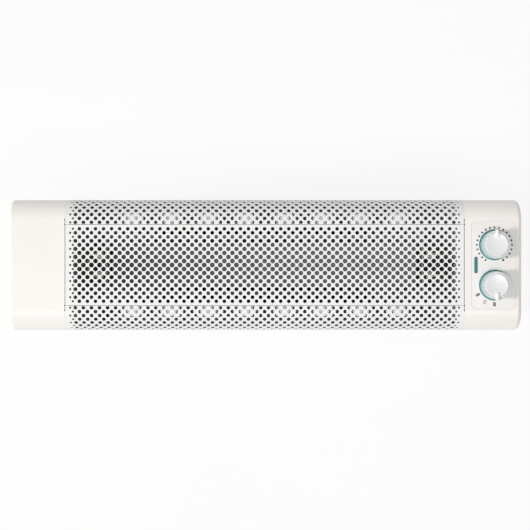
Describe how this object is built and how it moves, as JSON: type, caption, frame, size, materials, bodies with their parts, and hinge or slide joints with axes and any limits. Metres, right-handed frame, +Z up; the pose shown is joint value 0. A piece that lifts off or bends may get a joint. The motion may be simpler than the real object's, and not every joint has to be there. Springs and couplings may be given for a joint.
{
  "type": "fan convector heater",
  "caption": "Slim floor-standing fan convector heater with a perforated top grille, rounded shoulders, two end caps and two control knobs on top.",
  "frame": {"origin": "centre of the footprint at floor level", "axes": "+X along the length towards the controls, -Y towards the user's side (front), +Z up"},
  "size_m": [0.67, 0.172, 0.3665],
  "materials": {
    "casing_paint": "satin white powder coat",
    "cap_white": "warm white moulding, fine satin gloss",
    "fascia_white": "smooth glossy white inlay",
    "knob_white": "light grey-white glossy moulding with fine ribs",
    "pointer_white": "bright white insert",
    "teal_accent": "printed and moulded teal accent",
    "mark_dark": "dark warm grey print",
    "lens_teal": "tinted lamp lens",
    "lamp_glass": "clear neon lamp",
    "galvanised": "galvanised sheet",
    "zinc_screw": "bright zinc plated",
    "element_alu": "extruded aluminium, mill finish",
    "tube_steel": "heat-toned stainless tube",
    "insulator": "unglazed steatite ceramic",
    "terminal_metal": "plain brass",
    "black_moulding": "black phenolic moulding",
    "cream_moulding": "natural polyamide moulding",
    "wheel_alu": "pressed aluminium blades",
    "shaft_steel": "ground steel",
    "bronze": "oil-filled sintered bronze",
    "lamination": "stacked electrical steel",
    "coil_copper": "enamelled copper winding",
    "grey_foot": "light grey matt moulding",
    "black_rubber": "black rubber",
    "lead_brown": "brown lead insulation",
    "lead_blue": "blue lead insulation",
    "lead_green": "green and yellow lead insulation"
  },
  "bodies": {
    "casing": {"top_grille": "casing_paint", "front_panel": "casing_paint", "rear_panel": "casing_paint", "left_end_cap": "cap_white", "right_end_cap": "cap_white", "control_fascia": "fascia_white", "knob_rings": "teal_accent", "thermostat_scale_marks": "mark_dark", "selector_scale_marks": "mark_dark", "control_bracket": "galvanised", "thermostat_body": "black_moulding", "selector_body": "black_moulding", "control_nuts": "zinc_screw", "control_tabs": "terminal_metal", "pilot_lens": "lens_teal", "pilot_lamp": "lamp_glass", "lamp_holder": "cream_moulding", "base_plate": "galvanised", "left_bulkhead": "galvanised", "right_bulkhead": "galvanised", "feet": "grey_foot", "foot_pads": "black_rubber", "foot_screws": "zinc_screw", "casing_screws": "zinc_screw", "rear_heat_shield": "galvanised", "front_heat_shield": "galvanised", "panel_brackets": "galvanised", "element_fins": "element_alu", "element_tubes": "tube_steel", "element_insulators": "insulator", "element_pins": "terminal_metal", "element_brackets": "galvanised", "thermal_cutout": "black_moulding", "fan_scroll": "galvanised", "fan_tongue": "galvanised", "fan_end_plates": "galvanised", "bearing_grommet": "black_rubber", "motor_stack": "lamination", "motor_coil": "coil_copper", "coil_bobbin": "cream_moulding", "motor_bridges": "galvanised", "fan_bearings": "bronze", "motor_screws": "zinc_screw", "terminal_block": "cream_moulding", "terminal_clamps": "terminal_metal", "cable_gland": "black_moulding", "live_leads": "lead_brown", "neutral_lead": "lead_blue", "earth_lead": "lead_green", "earth_tag": "terminal_metal"},
    "thermostat_dial": {"thermostat_knob": "knob_white", "thermostat_pointer": "pointer_white", "thermostat_shaft": "shaft_steel"},
    "selector_dial": {"selector_knob": "knob_white", "selector_pointer": "pointer_white", "selector_shaft": "shaft_steel"},
    "fan_rotor": {"fan_wheel": "wheel_alu", "fan_shaft": "shaft_steel", "motor_rotor": "lamination"}
  },
  "joints": [
    {"name": "thermostat_turn", "type": "hinge", "parent": "casing", "child": "thermostat_dial", "pos_m": [0.2988, 0.0262, 0.358], "axis": [0, 0, 1], "range_deg": [-150, 150]},
    {"name": "selector_turn", "type": "hinge", "parent": "casing", "child": "selector_dial", "pos_m": [0.2988, -0.0262, 0.358], "axis": [0, 0, 1], "range_deg": [-60, 0]},
    {"name": "fan_spin", "type": "hinge", "parent": "casing", "child": "fan_rotor", "pos_m": [0, 0, 0.142], "axis": [1, 0, 0], "continuous": true}
  ]
}
